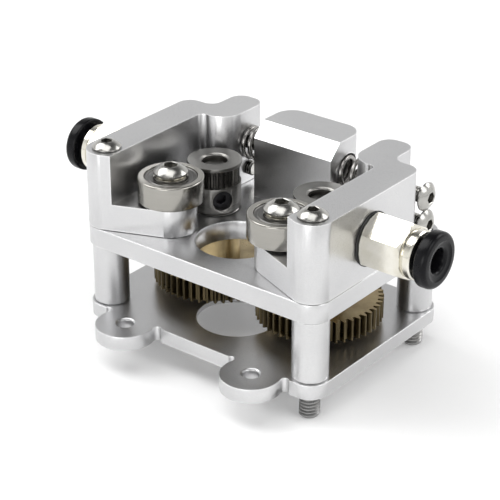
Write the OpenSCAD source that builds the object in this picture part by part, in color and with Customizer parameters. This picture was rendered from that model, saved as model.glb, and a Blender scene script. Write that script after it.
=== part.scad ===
// Twin-drive filament extruder: a geared base that bolts to a square motor, two spindles with
// toothed drive gears, and two sprung levers whose idler bearings press filament onto them.
// Origin: on the motor axis, at the underside of the base plate. +Z is up, away from the motor,
// +Y points to the spring block and filament runs along X.

/* [Plates] */
// Width of both plates
plate_w = 57; // [56.5:0.5:60]
// Depth of both plates, without the ears
plate_d = 42.6; // [42:0.2:46]
// Distance from the motor axis to the front edge of the plates
front_edge = 13.2; // [12.8:0.1:13.6]
// Thickness of the base plate
base_t = 3; // [3:0.1:3.2]
// Thickness of the deck plate
deck_t = 4; // [4:0.1:4.2]
// Clear height between the plates
plate_gap = 12.8; // [12.8:0.1:14]
// Radius of the plates' corners
corner_r = 4; // [3.8:0.1:4.2]
// Diameter of the holes in the middle of both plates
centre_hole_d = 16; // [14:0.5:16]

/* [Motor interface] */
// Pitch of the motor's screw holes
motor_pitch = 31; // [31]
// Diameter of the motor screw holes
motor_hole_d = 3.2; // [3.2:0.1:3.6]
// Diameter of the recess for the motor's pilot boss
pilot_d = 22.1; // [22.1:0.1:22.4]
// Depth of the pilot recess
pilot_depth = 2; // [1.8:0.1:2.1]
// Outer radius of the two front ears
ear_r = 5.9; // [5.4:0.1:6.1]

/* [Posts] */
// Diameter of the corner posts
post_d = 7; // [6.6:0.1:7.4]
// Distance from the posts' axes to the plates' edges
post_inset = 4; // [3.9:0.1:4.1]
// Length of the stud that stands out below each post
stud_length = 5.4; // [4:0.2:6]

/* [Gear train] */
// Gear module
gear_module = 0.5; // [0.5]
// Teeth on the motor's own pinion, which turns both spindle gears
pinion_teeth = 16; // [16]
// Teeth on each spindle gear
spur_teeth = 48; // [48]
// Face width of the spindle gears
spur_face = 4.4; // [4:0.1:4.6]
// Sideways distance from the motor axis to each spindle
spindle_x = 13; // [13:0.05:13.2]
// Diameter of the spindle shafts
shaft_d = 5; // [5]

/* [Drive gears] */
// Outer diameter of the drive gears
drive_d = 10.8; // [10.6:0.1:11]
// Teeth around each drive gear
drive_teeth = 28; // [24:1:32]
// Height of the filament line above the deck plate
filament_h = 7.5; // [7.4:0.1:7.6]

/* [Levers] */
// Height of the lever walls
lever_h = 15.7; // [15.5:0.1:16.5]
// Thickness of the lever walls
lever_wall = 7.4; // [7.2:0.1:7.5]
// Height of the low foot that carries the idler
foot_h = 5.55; // [5.4:0.05:5.65]
// Running gap under each lever
lever_gap = 0.1; // [0.1:0.05:0.2]
// Sideways distance from the middle to each idler
idler_x = 13.3; // [13.1:0.1:13.5]
// Distance from each idler axis forward of the motor axis
idler_back = 3.6; // [3.5:0.1:3.9]
// Thickness of the tab at the rear of each lever
tab_t = 7; // [6.6:0.1:7.2]

/* [Springs] */
// Width of the spring block
block_w = 18.7; // [18:0.1:18.9]
// Distance from the motor axis back to the springs
spring_y = 22.8; // [22.8:0.1:23.4]
// Height of the springs and tension screws above the deck plate
spring_h = 8.7; // [8.7:0.1:9.2]
// Distance from each tension screw down to the stop screw below it
stop_drop = 5.7; // [5.6:0.05:5.7]
// Outer diameter of the springs
spring_d = 7; // [6.6:0.1:7.2]
// Wire diameter of the springs
wire_d = 0.9; // [0.7:0.1:1]

/* [Tube fittings] */
// Width across the flats of the fittings
hex_af = 10; // [9.5:0.5:10]
// Length of the hexagon
hex_length = 8.9; // [8.5:0.2:9.1]
// Diameter of the tube that the fittings hold
tube_d = 4; // [4]
// Travel of the release collet
collet_travel = 1; // [0.6:0.1:1]

/* [Hidden] */
$fn = 96;

// Small clearances and edge breaks
eps = 0.02;
chamfer = 0.35;
over = 0.5;

// Levels, from the underside of the base plate
deck_z = base_t + plate_gap;
deck_top = deck_z + deck_t;
lever_z = deck_top + lever_gap;
lever_top = lever_z + lever_h;
foot_top = lever_z + foot_h;
filament_z = deck_top + filament_h;

// Posts and pivots
post_x = plate_w / 2 - post_inset;
post_front = -front_edge + post_inset;
post_rear = plate_d - front_edge - post_inset;
stud_r = 2;
spigot_r = 2.4;
thread_bore_depth = 10.5;
pivot_clearance = 0.06;
motor_hole_r = motor_hole_d / 2;
csk_r = 3.1;
notch_r = 0.8;
notch_sink = 0.35;
csk_h = 1.6;

// Gears. The spindles sit where both spindle gears mesh with a pinion on the motor axis.
centre_distance = gear_module * (pinion_teeth + spur_teeth) / 2;
spindle_y = sqrt(centre_distance * centre_distance - spindle_x * spindle_x);
pressure_angle = 20;
backlash = 0.06;
gear_z = 4.2;
spur_hub_r = 5;
spur_hub_top = gear_z + 10.6;
spur_grub_z = gear_z + spur_face + 3;
shaft_r = shaft_d / 2 - 0.01;
shaft_bore_r = shaft_d / 2 + 0.01;
shaft_bottom = 0.7;

// Drive gear stack, built around the filament line
drive_r = drive_d / 2;
hub_r = drive_r - 0.2;
band_r = drive_r - 0.5;
tooth_band = 3.7;
tooth_low = filament_z - tooth_band / 2;
tooth_high = filament_z + tooth_band / 2;
drive_low = deck_top + 0.4;
drive_high = tooth_high + 0.75;
shaft_top = drive_high - 1.3;
tooth_depth = 0.45;
drive_grub_r = 2;
drive_grub_z = drive_low + 2.6;
drive_grub_inset = 1.4;
bore_flare = 0.8;

// Bearings of the grub screws around their shafts
function spur_grub_turn(side) = side < 0 ? 150 : 30;
function drive_grub_turn(side) = side < 0 ? -33 : -147;

// Ball bearings: bore radius, outer radius, width, ball pitch radius, ball radius
deck_bearing = [2.5, 5, 4, 3.75, 0.7];
base_bearing = [2.5, 4, 2.5, 3.25, 0.42];
idler_bearing = [2, 6.5, 5, 4.25, 1.1];
ball_count = 8;
base_lip = 0.5;
race_share = 0.42;

// Idler
idler_y = -idler_back;
boss_h = 0.45;
idler_boss_r = 3.1;
idler_z = foot_top + boss_h;
idler_top = idler_z + idler_bearing[2];
foot_boss_r = 5;
shield_t = 0.25;
idler_washer_r = 2.9;
washer_t = 0.65;

// Lever plan
wall_out = plate_w / 2;
wall_in = wall_out - lever_wall;
jog_front = 15.2;
jog_rear = 19.8;
outer_corner_r = 2.8;
jog_r = 4.6;
tab_in = 14.8;
tab_out = tab_in + tab_t;
tab_end = 28;
tab_end_r = 2.8;
outer_fillet = 2.4;
inner_fillet = 1.2;

// Spring block and springs
block_front = 17.2;
block_rear = 28.5;
block_corner_r = 4;
block_chamfer = 3;
block_screw_x = 4;
block_screw_y = 22.8;
pocket_depth = 2.5;
pocket_r = spring_d / 2 + 0.3;
spring_z = deck_top + spring_h;
screw_head_x = 27.6;
tension_length = 16;
stop_length = 14;

// Screws: shank radius, head radius, head height, socket width across flats
m3 = [1.5, 2.85, 1.65, 2];
m4 = [2, 3.35, 2, 2.5];
thread_play = 0.02;

// Tube fittings, along +X from the lever's outer face
fitting_y = (idler_y + idler_bearing[1] + spindle_y - band_r) / 2;
thread_r = 3;
thread_length = 6;
washer_r = 5.3;
fitting_washer_t = 0.3;
hex_x = wall_out + fitting_washer_t;
neck_x = hex_x + hex_length;
neck_r = 4.7;
neck_length = 1.9;
mouth_x = neck_x + neck_length;
tube_r = tube_d / 2 + 0.05;
filament_hole_r = 1.2;
chamber_r = 3.45;
chamber_x = mouth_x - 3.6;
seal_x = chamber_x - 1.7;
collet_r = 5.4;
collet_t = 2.5;
collet_bore_r = 2.2;
collet_sleeve_r = 3.3;
collet_x = mouth_x + collet_travel + 0.2;

// ---------- Flat outlines ----------

// Rectangle between two corners, with round corners
module round_rect(low, high, r) {
    for (x = [low[0] + r, high[0] - r], y = [low[1] + r, high[1] - r])
        translate([x, y]) circle(r);
    translate([low[0] + r, low[1]]) square([high[0] - low[0] - 2 * r, high[1] - low[1]]);
    translate([low[0], low[1] + r]) square([high[0] - low[0], high[1] - low[1] - 2 * r]);
}

// Two discs joined by their outer tangents
module tangent_link(a, ra, b, rb) {
    gap = b - a;
    reach = norm(gap);
    line = atan2(gap[1], gap[0]);
    lean = acos((ra - rb) / reach);
    translate(a) circle(ra);
    translate(b) circle(rb);
    polygon([
        a + ra * [cos(line + lean), sin(line + lean)],
        a + ra * [cos(line - lean), sin(line - lean)],
        b + rb * [cos(line - lean), sin(line - lean)],
        b + rb * [cos(line + lean), sin(line + lean)]
    ]);
}

// Fills the inside corner at a point with a fillet that opens towards dir
module corner_fillet(at, dir, r) {
    translate(at) difference() {
        translate([min(0, dir[0]) * r, min(0, dir[1]) * r]) square(r);
        translate(dir * r) circle(r);
    }
}

// Outline of both plates
module plate_outline() {
    round_rect([-plate_w / 2, -front_edge], [plate_w / 2, plate_d - front_edge], corner_r);
}

// Centre of the round notch on one side of an ear, tangent to the ear
function notch_centre(side) =
    let (rise = motor_pitch / 2 - front_edge - notch_sink)
    [motor_pitch / 2 + side * sqrt((ear_r + notch_r) * (ear_r + notch_r) - rise * rise),
     -front_edge - notch_sink];

// One front ear, filled out to the centres of its two notches
module ear_outline() {
    ear = [motor_pitch / 2, -motor_pitch / 2];
    translate(ear) circle(ear_r);
    for (side = [-1, 1])
        polygon([
            ear,
            [ear[0], -front_edge + over],
            [notch_centre(side)[0], -front_edge + over],
            notch_centre(side)
        ]);
}

// Notches on both sides of one ear
module ear_notches() {
    for (side = [-1, 1])
        translate(notch_centre(side)) circle(notch_r);
}

// Involute angle, in degrees, at radius r on base radius rb
function involute(rb, r) =
    let (tangent = sqrt(max(r * r / (rb * rb) - 1, 0)))
    tangent * 180 / PI - atan(tangent);

// Half the angle of a tooth at radius r
function half_tooth(teeth, rp, rb, r) =
    90 / teeth - backlash / 2 / rp * 180 / PI + involute(rb, rp) - involute(rb, max(r, rb));

// Outline of a spur gear with one tooth centred on +X
module gear_outline(teeth) {
    rp = gear_module * teeth / 2;
    rb = rp * cos(pressure_angle);
    tip = rp + gear_module;
    root = rp - 1.2 * gear_module;
    flank = [root, rp - 0.5 * gear_module, rp, rp + 0.5 * gear_module, tip];
    last = len(flank) - 1;
    polygon([
        for (t = [0 : teeth - 1])
            for (k = [-last - 1 : last])
                let (
                    step = k < 0 ? last + 1 + k : last - k,
                    side = k < 0 ? -1 : 1,
                    r = flank[step],
                    turn = 360 * t / teeth + side * half_tooth(teeth, rp, rb, r)
                )
                r * [cos(turn), sin(turn)]
    ]);
}

// Angle of a tooth on a gear that lies at bearing theta from the pinion
function mesh_turn(theta) =
    theta + 180 - (0.5 - theta * pinion_teeth / 360) * 360 / spur_teeth;

// Outline of a drive gear's toothed band
module drive_outline() {
    pitch = 360 / drive_teeth;
    polygon([
        for (t = [0 : drive_teeth - 1])
            for (k = [[-0.34, -1], [-0.12, 0], [0.12, 0], [0.34, -1]])
                let (turn = (t + k[0]) * pitch, r = band_r + k[1] * tooth_depth)
                r * [cos(turn), sin(turn)]
    ]);
}

// Plan of the right lever's foot, from the pivot to the idler
module foot_outline() {
    tangent_link([idler_x, idler_y], foot_boss_r, [post_x, post_front], post_inset);
}

// Plan of the right lever's tall wall: straight side, step inward and rear tab
module wall_outline() {
    translate([wall_in, post_front]) square([lever_wall, jog_rear - outer_corner_r - post_front]);
    intersection() {
        foot_outline();
        translate([wall_in, -front_edge - over]) square([lever_wall + over, front_edge]);
    }
    translate([wall_out - outer_corner_r, jog_rear - outer_corner_r]) circle(outer_corner_r);
    translate([tab_in + jog_r, jog_front])
        square([wall_out - outer_corner_r - tab_in - jog_r, jog_rear - jog_front]);
    difference() {
        union() {
            translate([tab_in + jog_r, jog_front + jog_r]) circle(jog_r);
            translate([tab_in, jog_front + jog_r])
                square([tab_t, tab_end - tab_end_r - jog_front - jog_r]);
        }
        translate([tab_out, jog_rear]) square(10);
    }
    for (x = [tab_in + tab_end_r, tab_out - tab_end_r])
        translate([x, tab_end - tab_end_r]) circle(tab_end_r);
    translate([tab_in + tab_end_r, tab_end - 2 * tab_end_r])
        square([tab_t - 2 * tab_end_r, 2 * tab_end_r]);
    corner_fillet([tab_out, jog_rear], [1, 1], outer_fillet);
    corner_fillet([wall_in, jog_front], [-1, -1], inner_fillet);
}

// ---------- Hardware ----------

// Screw pointing down from the origin, with a domed head and a hexagon socket
module button_screw(size, length) {
    edge = 0.25 * size[2];
    dome = size[2] - edge;
    dome_r = (size[1] * size[1] + dome * dome) / (2 * dome);
    difference() {
        rotate_extrude() intersection() {
            square([size[1], size[2]]);
            translate([0, size[2] - dome_r]) circle(dome_r, $fn = 360);
        }
        translate([0, 0, size[2] * 0.4]) cylinder(r = size[3] / sqrt(3), h = size[2], $fn = 6);
    }
    translate([0, 0, -length + chamfer]) cylinder(r = size[0], h = length - chamfer);
    translate([0, 0, -length]) cylinder(r1 = size[0] - chamfer, r2 = size[0], h = chamfer);
}

// Screw pointing down from the origin, with a flat head that ends flush with it
module flat_screw(size, length) {
    difference() {
        translate([0, 0, -csk_h]) cylinder(r1 = size[0], r2 = csk_r - 0.1, h = csk_h);
        translate([0, 0, -1.1]) cylinder(r = size[3] / sqrt(3), h = 2, $fn = 6);
    }
    translate([0, 0, -length]) cylinder(r = size[0], h = length - csk_h);
}

// Countersink cut whose wide end is at the origin
module countersink() {
    translate([0, 0, -csk_h]) cylinder(r1 = motor_hole_r, r2 = csk_r, h = csk_h);
    cylinder(r = csk_r, h = over);
}

// Grub screw along +X that starts at radius from
module grub_screw(radius, from, to) {
    difference() {
        translate([from, 0, 0]) rotate([0, 90, 0]) cylinder(r = radius, h = to - from);
        translate([to - 1.2, 0, 0]) rotate([0, 90, 0])
            cylinder(r = radius * 0.58, h = 2, $fn = 6);
    }
}

// Outer race of a bearing whose lower face is at z = 0
module outer_race(b) {
    inner = b[1] - (b[1] - b[0]) * (1 - race_share) / 2;
    rotate_extrude() difference() {
        translate([inner, 0]) square([b[1] - eps - inner, b[2]]);
        translate([b[3], b[2] / 2]) circle(b[4] + eps);
        translate([b[1], 0]) rotate(45) square(chamfer, center = true);
        translate([b[1], b[2]]) rotate(45) square(chamfer, center = true);
    }
}

// Inner race of the same bearing
module inner_race(b) {
    outer = b[0] + (b[1] - b[0]) * (1 - race_share) / 2;
    rotate_extrude() difference() {
        translate([b[0] + eps / 2, 0]) square([outer - b[0] - eps / 2, b[2]]);
        translate([b[3], b[2] / 2]) circle(b[4] + eps);
    }
}

// Balls of the same bearing
module ball_ring(b) {
    for (k = [0 : ball_count - 1])
        rotate(360 * k / ball_count) translate([b[3], 0, b[2] / 2]) sphere(b[4]);
}

// Draws its children for the right side, or mirrored for the left
module on_side(side) {
    if (side > 0) {
        children();
    } else {
        mirror([1, 0, 0]) children();
    }
}

// ---------- Base ----------

// Base plate with ears, motor holes, pilot recess and lower bearing pockets
module base_plate() {
    color("silver") difference() {
        union() {
            linear_extrude(base_t) plate_outline();
            for (side = [-1, 1])
                on_side(side) linear_extrude(base_t) ear_outline();
        }
        for (side = [-1, 1])
            on_side(side) translate([0, 0, -over])
                linear_extrude(base_t + 2 * over) ear_notches();
        translate([0, 0, -over]) cylinder(d = centre_hole_d, h = base_t + 2 * over);
        translate([0, 0, -over]) cylinder(d = pilot_d, h = pilot_depth + over);
        for (x = [-motor_pitch / 2, motor_pitch / 2], y = [-motor_pitch / 2, motor_pitch / 2])
            translate([x, y, -over]) cylinder(d = motor_hole_d, h = base_t + 2 * over);
        for (x = [-motor_pitch / 2, motor_pitch / 2]) {
            translate([x, motor_pitch / 2, base_t]) countersink();
            translate([x, -motor_pitch / 2, base_t - chamfer])
                cylinder(r1 = motor_hole_r, r2 = motor_hole_r + 2 * chamfer, h = 2 * chamfer);
        }
        for (x = [-post_x, post_x], y = [post_front, post_rear])
            translate([x, y, -over]) cylinder(r = spigot_r + thread_play, h = base_t + 2 * over);
        for (x = [-spindle_x, spindle_x]) {
            translate([x, spindle_y, base_lip]) cylinder(r = base_bearing[1], h = base_t);
            translate([x, spindle_y, -over]) cylinder(r = base_bearing[1] - 0.7, h = base_t);
        }
    }
}

// Deck plate that carries the upper bearings, the levers and the spring block
module deck_plate() {
    color("silver") translate([0, 0, deck_z]) difference() {
        linear_extrude(deck_t) plate_outline();
        translate([0, 0, -over]) cylinder(d = centre_hole_d, h = deck_t + 2 * over);
        for (x = [-spindle_x, spindle_x])
            translate([x, spindle_y, -over]) cylinder(r = deck_bearing[1], h = deck_t + 2 * over);
        for (x = [-post_x, post_x], y = [post_front, post_rear])
            translate([x, y, -over]) cylinder(r = m3[0] + 0.1, h = deck_t + 2 * over);
        for (x = [-post_x, post_x])
            translate([x, post_rear, deck_t]) countersink();
        for (x = [-block_screw_x, block_screw_x])
            translate([x, block_screw_y, -over]) cylinder(r = m3[0] + 0.1, h = deck_t + 2 * over);
    }
}

// Corner posts, each with a spigot in the base plate, a stud below and a tapped hole above
module corner_posts() {
    color("gainsboro")
        for (x = [-post_x, post_x], y = [post_front, post_rear])
            translate([x, y, 0]) difference() {
                union() {
                    translate([0, 0, base_t]) cylinder(d = post_d, h = plate_gap);
                    cylinder(r = spigot_r, h = base_t);
                    translate([0, 0, -stud_length + chamfer])
                        cylinder(r = stud_r, h = stud_length - chamfer);
                    translate([0, 0, -stud_length])
                        cylinder(r1 = stud_r - chamfer, r2 = stud_r, h = chamfer);
                }
                translate([0, 0, deck_z - thread_bore_depth])
                    cylinder(r = m3[0] + thread_play, h = thread_bore_depth + over);
            }
}

// Flat-head screws that hold the rear corners of the deck plate
module rear_deck_screws() {
    color("dimgray")
        for (x = [-post_x, post_x])
            translate([x, post_rear, deck_top]) flat_screw(m3, 12);
}

// Long screws that the levers turn on
module pivot_screws() {
    color("lightsteelblue")
        for (x = [-post_x, post_x])
            translate([x, post_front, lever_top + 0.15]) button_screw(m3, 30);
}

// Block between the two rear tabs, with a pocket for the end of each spring
module spring_block() {
    height = lever_top - deck_top;
    color("silver") difference() {
        translate([0, 0, deck_top]) linear_extrude(height) union() {
            round_rect([-block_w / 2, block_front], [block_w / 2, block_rear], block_corner_r);
            translate([-block_w / 2, block_front]) square([block_w, block_corner_r * 1.5]);
        }
        translate([0, block_front, lever_top]) rotate([45, 0, 0])
            cube([block_w + 1, block_chamfer * sqrt(2), block_chamfer * sqrt(2)], center = true);
        for (side = [-1, 1])
            on_side(side) translate([block_w / 2 - pocket_depth, spring_y, spring_z])
                rotate([0, 90, 0]) cylinder(r = pocket_r, h = pocket_depth + over);
        for (x = [-block_screw_x, block_screw_x])
            translate([x, block_screw_y, deck_top - over])
                cylinder(r = m3[0] + thread_play, h = 8 + over);
    }
}

// Screws that hold the spring block from under the deck plate
module block_screws() {
    color("dimgray")
        for (x = [-block_screw_x, block_screw_x])
            translate([x, block_screw_y, deck_z]) mirror([0, 0, 1]) button_screw(m3, 11.5);
}

// Outer races of the four spindle bearings
module spindle_bearing_outer_races() {
    color("gray")
        for (x = [-spindle_x, spindle_x]) {
            translate([x, spindle_y, deck_z]) outer_race(deck_bearing);
            translate([x, spindle_y, base_lip]) outer_race(base_bearing);
        }
}

// Balls of the four spindle bearings
module spindle_bearing_balls() {
    color("white")
        for (x = [-spindle_x, spindle_x]) {
            translate([x, spindle_y, deck_z]) ball_ring(deck_bearing);
            translate([x, spindle_y, base_lip]) ball_ring(base_bearing);
        }
}

// Spring between the block and a lever, as a sleeve with the coil's inner and outer size
module spring(side) {
    low = block_w / 2 - pocket_depth + eps;
    color("darkgray") on_side(side)
        translate([low, spring_y, spring_z]) rotate([0, 90, 0]) difference() {
            cylinder(d = spring_d, h = tab_in - eps - low);
            translate([0, 0, -over])
                cylinder(d = spring_d - 2 * wire_d, h = tab_in - low + 2 * over);
        }
}
module left_spring() { spring(-1); }
module right_spring() { spring(1); }

// ---------- Spindles ----------

// Spindle shaft with chamfered ends
module shaft(side) {
    color("silver") translate([side * spindle_x, spindle_y, shaft_bottom]) {
        cylinder(r1 = shaft_r - chamfer, r2 = shaft_r, h = chamfer);
        translate([0, 0, chamfer]) cylinder(r = shaft_r, h = shaft_top - shaft_bottom - 2 * chamfer);
        translate([0, 0, shaft_top - shaft_bottom - chamfer])
            cylinder(r1 = shaft_r, r2 = shaft_r - chamfer, h = chamfer);
    }
}
module left_shaft() { shaft(-1); }
module right_shaft() { shaft(1); }

// Brass spindle gear with its hub
module spur_gear(side) {
    theta = atan2(spindle_y, side * spindle_x);
    color("goldenrod") translate([side * spindle_x, spindle_y, 0]) difference() {
        union() {
            translate([0, 0, gear_z]) linear_extrude(spur_face)
                rotate(mesh_turn(theta)) gear_outline(spur_teeth);
            translate([0, 0, gear_z + spur_face])
                cylinder(r = spur_hub_r, h = spur_hub_top - gear_z - spur_face);
        }
        translate([0, 0, gear_z - over]) cylinder(r = shaft_bore_r, h = spur_hub_top);
        rotate(spur_grub_turn(side)) translate([0, 0, spur_grub_z]) rotate([0, 90, 0])
            cylinder(r = m3[0] + thread_play, h = spur_hub_r + over);
    }
}
module left_spur_gear() { spur_gear(-1); }
module right_spur_gear() { spur_gear(1); }

// Grub screw that locks the spindle gear
module spur_grub_screw(side) {
    color("dimgray") translate([side * spindle_x, spindle_y, spur_grub_z])
        rotate(spur_grub_turn(side))
        grub_screw(m3[0], shaft_r + eps, spur_hub_r - 0.3);
}
module left_spur_grub_screw() { spur_grub_screw(-1); }
module right_spur_grub_screw() { spur_grub_screw(1); }

// Drive gear: plain hub, sunken toothed band and thin top flange
module drive_gear(side) {
    color("darkslategray") translate([side * spindle_x, spindle_y, 0]) difference() {
        union() {
            translate([0, 0, drive_low]) cylinder(r = hub_r, h = tooth_low - drive_low);
            translate([0, 0, tooth_low]) linear_extrude(tooth_band) drive_outline();
            translate([0, 0, tooth_high]) cylinder(r = drive_r, h = drive_high - tooth_high);
        }
        translate([0, 0, drive_low - over]) cylinder(r = shaft_bore_r, h = drive_high);
        translate([0, 0, drive_high - bore_flare / 2])
            cylinder(r1 = shaft_bore_r, r2 = shaft_bore_r + bore_flare, h = bore_flare);
        rotate(drive_grub_turn(side)) translate([0, 0, drive_grub_z]) rotate([0, 90, 0])
            cylinder(r = drive_grub_r + thread_play, h = hub_r + over);
        rotate(drive_grub_turn(side)) translate([hub_r - 0.35, 0, drive_grub_z])
            rotate([0, 90, 0]) cylinder(r1 = drive_grub_r, r2 = drive_grub_r + 0.6, h = 0.6);
    }
}
module left_drive_gear() { drive_gear(-1); }
module right_drive_gear() { drive_gear(1); }

// Grub screw that locks the drive gear
module drive_grub_screw(side) {
    color("dimgray") translate([side * spindle_x, spindle_y, drive_grub_z])
        rotate(drive_grub_turn(side))
            grub_screw(drive_grub_r, shaft_r + eps, hub_r - drive_grub_inset);
}
module left_drive_grub_screw() { drive_grub_screw(-1); }
module right_drive_grub_screw() { drive_grub_screw(1); }

// Inner races of one spindle's two bearings
module spindle_inner_races(side) {
    color("gray") translate([side * spindle_x, spindle_y, 0]) {
        translate([0, 0, deck_z]) inner_race(deck_bearing);
        translate([0, 0, base_lip]) inner_race(base_bearing);
    }
}
module left_spindle_inner_races() { spindle_inner_races(-1); }
module right_spindle_inner_races() { spindle_inner_races(1); }

// ---------- Levers ----------

// Lever: tall wall with a rear tab, and a low foot that carries the idler
module lever(side) {
    color("silver") on_side(side) difference() {
        union() {
            translate([0, 0, lever_z]) linear_extrude(lever_h) wall_outline();
            translate([0, 0, lever_z]) linear_extrude(foot_h) foot_outline();
            translate([idler_x, idler_y, lever_z])
                cylinder(r = idler_boss_r, h = idler_z - eps - lever_z);
        }
        translate([post_x, post_front, lever_z - over])
            cylinder(r = m3[0] + pivot_clearance, h = lever_h + 2 * over);
        translate([idler_x, idler_y, lever_z - over])
            cylinder(r = m4[0] + thread_play, h = lever_h);
        translate([wall_out - thread_length - 0.3, fitting_y, filament_z]) rotate([0, 90, 0])
            cylinder(r = thread_r + thread_play, h = lever_wall);
        translate([wall_in - over, fitting_y, filament_z]) rotate([0, 90, 0])
            cylinder(r = filament_hole_r, h = lever_wall);
        for (z = [spring_z, spring_z - stop_drop])
            translate([tab_in - over, spring_y, z]) rotate([0, 90, 0])
                cylinder(r = m3[0] + thread_play, h = tab_t + 2 * over);
    }
}
module left_lever() { lever(-1); }
module right_lever() { lever(1); }

// Screw that holds the idler bearing on the foot
module idler_screw(side) {
    color("lightsteelblue") on_side(side)
        translate([idler_x, idler_y, idler_top + 2 * eps + washer_t]) button_screw(m4, 11);
}
module left_idler_screw() { idler_screw(-1); }
module right_idler_screw() { idler_screw(1); }

// Washer between the idler bearing and its screw
module idler_washer(side) {
    color("white") on_side(side) translate([idler_x, idler_y, idler_top + eps]) difference() {
        cylinder(r = idler_washer_r, h = washer_t);
        translate([0, 0, -over]) cylinder(r = m4[0] + 0.1, h = washer_t + 2 * over);
    }
}
module left_idler_washer() { idler_washer(-1); }
module right_idler_washer() { idler_washer(1); }

// Inner race of the idler bearing
module idler_inner_race(side) {
    color("gray") on_side(side) translate([idler_x, idler_y, idler_z]) inner_race(idler_bearing);
}
module left_idler_inner_race() { idler_inner_race(-1); }
module right_idler_inner_race() { idler_inner_race(1); }

// Balls of the idler bearing
module idler_balls(side) {
    color("white") on_side(side) translate([idler_x, idler_y, idler_z]) ball_ring(idler_bearing);
}
module left_idler_balls() { idler_balls(-1); }
module right_idler_balls() { idler_balls(1); }

// Outer race of the idler bearing, the surface that presses on the filament
module idler_outer_race(side) {
    color("gray") on_side(side) translate([idler_x, idler_y, idler_z]) outer_race(idler_bearing);
}
module left_idler_outer_race() { idler_outer_race(-1); }
module right_idler_outer_race() { idler_outer_race(1); }

// Thin shields on both faces of the idler bearing
module idler_shields(side) {
    gap = (idler_bearing[1] - idler_bearing[0]) * (1 - race_share) / 2;
    inner = idler_bearing[0] + gap + 0.1;
    outer = idler_bearing[1] - gap - eps;
    color("darkgray") on_side(side)
        for (z = [idler_z + 0.3, idler_top - 0.3 - shield_t])
            translate([idler_x, idler_y, z]) difference() {
                cylinder(r = outer, h = shield_t);
                translate([0, 0, -over]) cylinder(r = inner, h = shield_t + 2 * over);
            }
}
module left_idler_shields() { idler_shields(-1); }
module right_idler_shields() { idler_shields(1); }

// Screw through the rear tab that centres the spring and sets its preload
module tension_screw(side) {
    color("lightsteelblue") on_side(side)
        translate([screw_head_x, spring_y, spring_z]) rotate([0, 90, 0])
            button_screw(m3, tension_length);
}
module left_tension_screw() { tension_screw(-1); }
module right_tension_screw() { tension_screw(1); }

// Screw below it that limits how far the lever opens
module stop_screw(side) {
    color("lightsteelblue") on_side(side)
        translate([screw_head_x, spring_y, spring_z - stop_drop]) rotate([0, 90, 0])
            button_screw(m3, stop_length);
}
module left_stop_screw() { stop_screw(-1); }
module right_stop_screw() { stop_screw(1); }

// ---------- Tube fittings ----------

// Places its children with z = 0 on the motor axis plane and +Z along the right tube
module on_tube(side, x) {
    on_side(side) translate([x, fitting_y, filament_z]) rotate([0, 90, 0]) children();
}

// Fitting body: thread, hexagon and neck, bored for the tube and the collet
module fitting_body(side) {
    color("whitesmoke") on_tube(side, 0) difference() {
        union() {
            translate([0, 0, wall_out - thread_length])
                cylinder(r = thread_r, h = thread_length + fitting_washer_t);
            translate([0, 0, hex_x]) cylinder(r = hex_af / sqrt(3), h = hex_length, $fn = 6);
            translate([0, 0, neck_x]) cylinder(r = neck_r, h = neck_length);
        }
        translate([0, 0, wall_out - thread_length - over])
            cylinder(r = tube_r, h = mouth_x);
        translate([0, 0, seal_x]) cylinder(r = chamber_r, h = mouth_x);
    }
}
module left_fitting_body() { fitting_body(-1); }
module right_fitting_body() { fitting_body(1); }

// Sealing washer under the hexagon
module fitting_washer(side) {
    color("black") on_tube(side, wall_out + eps) difference() {
        cylinder(r = washer_r, h = fitting_washer_t - 2 * eps);
        translate([0, 0, -over]) cylinder(r = thread_r + 0.1, h = fitting_washer_t + 2 * over);
    }
}
module left_fitting_washer() { fitting_washer(-1); }
module right_fitting_washer() { fitting_washer(1); }

// Rubber seal that grips the tube
module tube_seal(side) {
    color("black") on_tube(side, seal_x + 0.85) rotate_extrude()
        translate([(tube_r + chamber_r) / 2 + 0.02, 0]) circle(0.66);
}
module left_tube_seal() { tube_seal(-1); }
module right_tube_seal() { tube_seal(1); }

// Steel ring whose claws hold the tube
module grip_ring(side) {
    color("silver") on_tube(side, chamber_x + 0.1) difference() {
        cylinder(r = collet_sleeve_r, h = 0.4);
        translate([0, 0, -over]) cylinder(r = collet_bore_r, h = 2);
    }
}
module left_grip_ring() { grip_ring(-1); }
module right_grip_ring() { grip_ring(1); }

// Release collet that is pushed in to free the tube
module release_collet(side) {
    sleeve = chamber_x + 0.6 + collet_travel;
    lip = 0.7;
    color("black") on_tube(side, 0) difference() {
        union() {
            translate([0, 0, sleeve]) cylinder(r = collet_sleeve_r, h = collet_x - sleeve);
            translate([0, 0, collet_x]) cylinder(r1 = collet_r - chamfer, r2 = collet_r, h = chamfer);
            translate([0, 0, collet_x + chamfer])
                cylinder(r = collet_r, h = collet_t - chamfer - lip);
            translate([0, 0, collet_x + collet_t - lip])
                cylinder(r1 = collet_r, r2 = collet_r - lip, h = lip);
        }
        translate([0, 0, sleeve - over]) cylinder(r = collet_bore_r, h = collet_x);
    }
}
module left_release_collet() { release_collet(-1); }
module right_release_collet() { release_collet(1); }

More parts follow.
